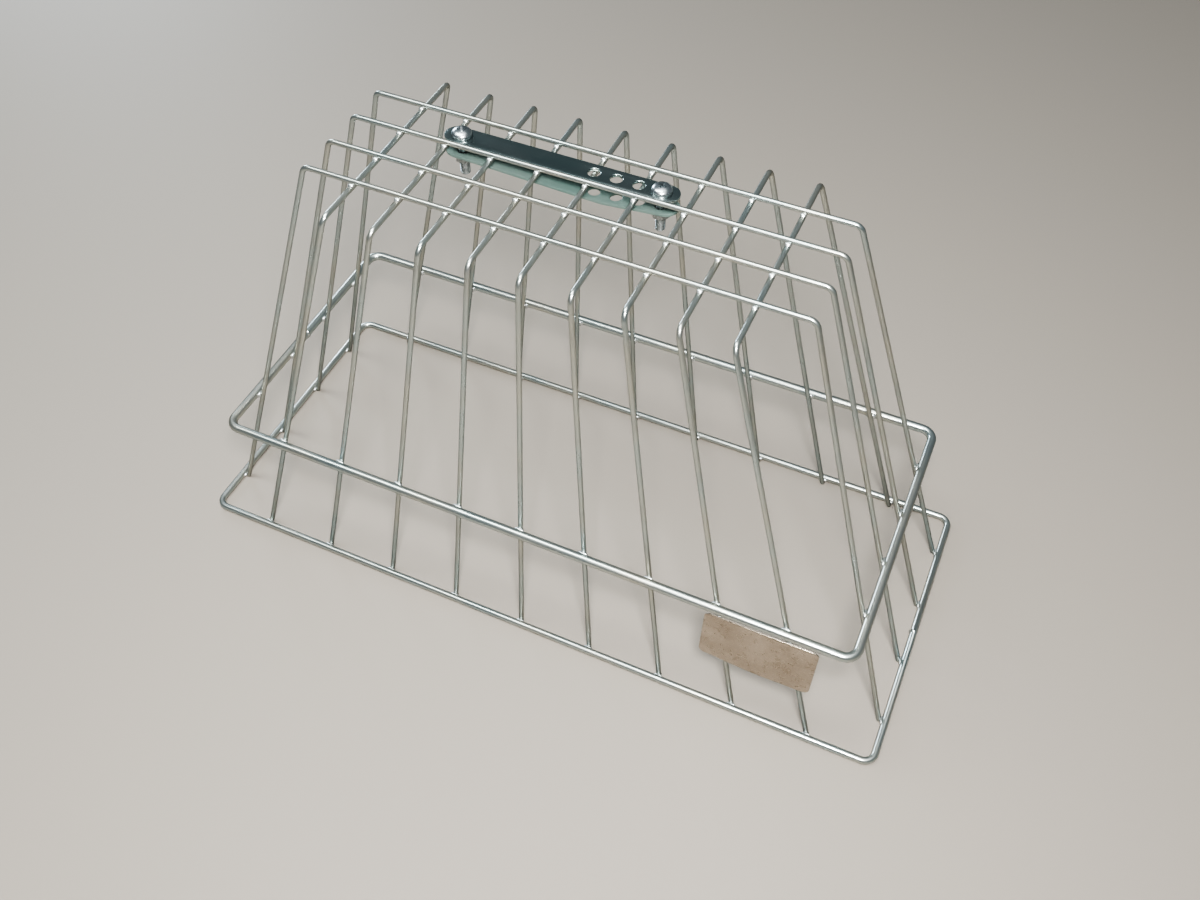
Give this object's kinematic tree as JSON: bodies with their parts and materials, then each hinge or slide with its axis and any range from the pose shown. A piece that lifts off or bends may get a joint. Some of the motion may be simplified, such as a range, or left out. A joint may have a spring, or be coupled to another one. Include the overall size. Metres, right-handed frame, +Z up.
{
  "type": "wire basket",
  "caption": "Tapered basket of welded zinc-plated steel wire, stored mouth down, with a mouth ring, a reinforcing ring, a blank nameplate and a two-strap screw clamp in its floor.",
  "frame": {"origin": "middle of the mouth, on the surface that the mouth ring stands on", "axes": "+Z up from the mouth to the floor of the upturned basket, +X along the basket, +Y from the wall with the nameplate to the wall by the clamp"},
  "size_m": [0.424, 0.179, 0.2515],
  "materials": {
    "zinc_wire": "bright zinc plating on drawn steel wire, smooth and fairly glossy, slightly duller at the welds",
    "zinc_strap": "zinc-plated strip steel with fine marks along its length and a cool blue-green tint",
    "zinc_fastener": "bright zinc-plated machine screws and nuts",
    "plain_plate": "thin blank metal plate, satin, warm grey, with shallow dents at its spot welds"
  },
  "bodies": {
    "basket": {"long_wire_1": "zinc_wire", "long_wire_2": "zinc_wire", "long_wire_3": "zinc_wire", "long_wire_4": "zinc_wire", "cross_wire_1": "zinc_wire", "cross_wire_2": "zinc_wire", "cross_wire_3": "zinc_wire", "cross_wire_4": "zinc_wire", "cross_wire_5": "zinc_wire", "cross_wire_6": "zinc_wire", "cross_wire_7": "zinc_wire", "cross_wire_8": "zinc_wire", "cross_wire_9": "zinc_wire", "mouth_ring": "zinc_wire", "reinforcing_ring": "zinc_wire", "nameplate": "plain_plate"},
    "inner_clamp": {"inner_strap": "zinc_strap", "left_nut": "zinc_fastener", "right_nut": "zinc_fastener"},
    "outer_clamp": {"outer_strap": "zinc_strap"},
    "left_clamp_screw": {"left_screw": "zinc_fastener"},
    "right_clamp_screw": {"right_screw": "zinc_fastener"}
  },
  "joints": [
    {"name": "clamp_lift", "type": "slide", "parent": "basket", "child": "inner_clamp", "axis": [0, 0, 1], "range_m": [0, 0.0034]},
    {"name": "strap_travel", "type": "slide", "parent": "inner_clamp", "child": "outer_clamp", "axis": [0, 0, 1], "range_m": [0, 0.0064]},
    {"name": "left_screw_turn", "type": "hinge", "parent": "outer_clamp", "child": "left_clamp_screw", "pos_m": [-0.069, 0.0187, 0.2478], "axis": [0, 0, 1], "range_deg": [0, 2880]},
    {"name": "right_screw_turn", "type": "hinge", "parent": "outer_clamp", "child": "right_clamp_screw", "pos_m": [0.035, 0.0187, 0.2478], "axis": [0, 0, 1], "range_deg": [0, 2880]}
  ],
  "couplings": [
    {"joint": "left_screw_turn", "follows": "strap_travel", "rad_per_m": 7854},
    {"joint": "right_screw_turn", "follows": "strap_travel", "rad_per_m": 7854}
  ]
}
